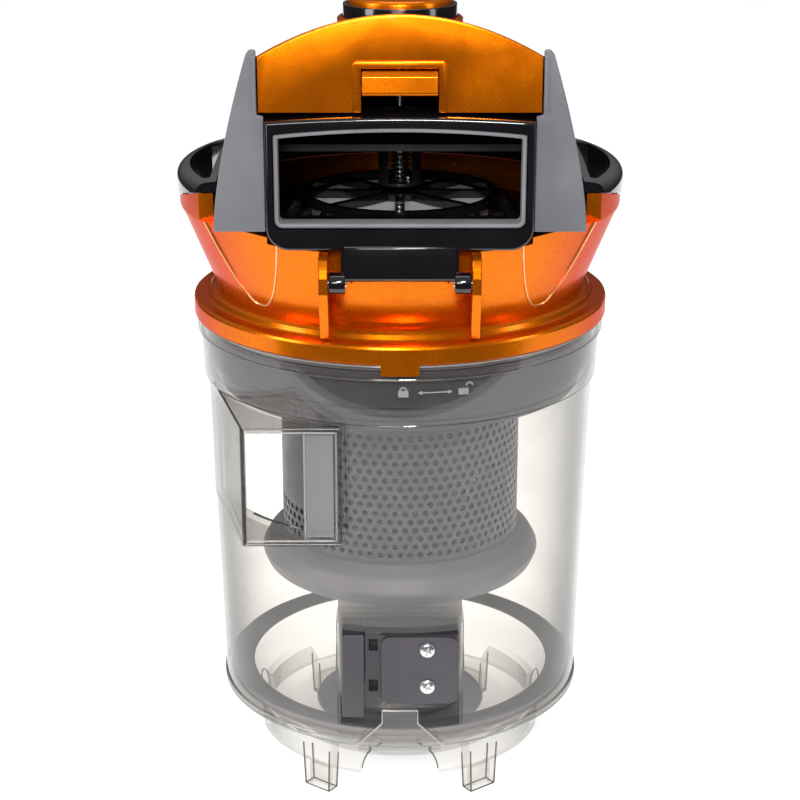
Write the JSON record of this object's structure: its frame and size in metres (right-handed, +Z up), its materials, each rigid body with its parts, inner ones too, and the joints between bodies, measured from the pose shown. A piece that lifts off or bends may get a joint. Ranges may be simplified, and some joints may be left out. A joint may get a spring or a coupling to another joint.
{
  "type": "vacuum cleaner dust container",
  "caption": "Removable cyclone dust container: clear bin with hinged bottom door, flared top housing and a hinged cover with a filter and an outlet duct.",
  "frame": {"origin": "on the ground, under the centre of the container's overall box", "axes": "+Z up along the container's axis; the side with the inlet port and the outlet duct looks along -Y"},
  "size_m": [0.177, 0.177, 0.324],
  "materials": {
    "clear_smoke": "clear with a light smoke tint",
    "candy_orange": "metallic orange under clear lacquer",
    "gloss_black": "polished",
    "satin_black": "satin",
    "satin_grey": "satin, fine grain",
    "dark_grey": "moulded",
    "mid_grey": "moulded",
    "grey_rubber": "soft",
    "steel": "zinc plated",
    "pale_fleece": "pleated fleece"
  },
  "bodies": {
    "container": {"dust_bin": "clear_smoke", "latch_housing": "gloss_black", "latch_cover": "gloss_black", "latch_screw_upper": "steel", "latch_screw_lower": "steel", "release_spring": "steel", "door_hinge_pin": "steel", "separator_collar": "dark_grey", "mesh_cylinder": "dark_grey", "bell_skirt": "mid_grey", "stem": "mid_grey", "stem_foot": "grey_rubber", "inner_cone": "dark_grey", "vortex_finder": "dark_grey", "bin_seal": "grey_rubber"},
    "slider": {"release_slider": "gloss_black"},
    "door": {"bottom_door": "clear_smoke", "door_seal": "grey_rubber"},
    "housing": {"upper_housing": "candy_orange", "saddle_ring": "gloss_black", "filter_seal": "grey_rubber", "filter_frame": "gloss_black", "filter_media": "pale_fleece", "hinge_pin_left": "steel", "hinge_pin_right": "steel"},
    "cover": {"top_lid": "candy_orange", "cover_shell": "satin_black", "side_plate_left": "satin_grey", "side_plate_right": "satin_grey", "outlet_duct": "gloss_black", "outlet_seal": "grey_rubber", "ceiling_panel": "satin_black", "hub_plate": "satin_black", "hub_screw_left": "steel", "hub_screw_right": "steel", "plunger_cage": "satin_black", "plunger_spring": "steel", "button_bezel": "gloss_black", "catch_pin": "steel"},
    "button": {"button_cap": "candy_orange", "plunger": "steel"},
    "catch": {"catch_tongue": "candy_orange"}
  },
  "joints": [
    {"name": "door_hinge", "type": "hinge", "parent": "container", "child": "door", "pos_m": [0, 0.0805, 0.04], "axis": [1, 0, 0], "range_deg": [0, 95]},
    {"name": "release_slide", "type": "slide", "parent": "container", "child": "slider", "axis": [0, 0, -1], "range_m": [0, 0.0025], "stiffness_N_per_m": 500, "springref_m": -0.001, "deforming": ["release_spring"]},
    {"name": "housing_twist", "type": "hinge", "parent": "container", "child": "housing", "pos_m": [0, 0, 0.2], "axis": [0, 0, 1], "range_deg": [0, 16]},
    {"name": "cover_hinge", "type": "hinge", "parent": "housing", "child": "cover", "pos_m": [0, -0.0845, 0.2285], "axis": [1, 0, 0], "range_deg": [0, 100]},
    {"name": "button_press", "type": "slide", "parent": "cover", "child": "button", "axis": [0, 0, -1], "range_m": [0, 0.004], "stiffness_N_per_m": 700, "springref_m": -0.001, "deforming": ["plunger_spring"]},
    {"name": "catch_hinge", "type": "hinge", "parent": "cover", "child": "catch", "pos_m": [0, -0.0786, 0.3022], "axis": [-1, 0, 0], "range_deg": [0, 15], "stiffness_Nm_per_rad": 0.1}
  ]
}
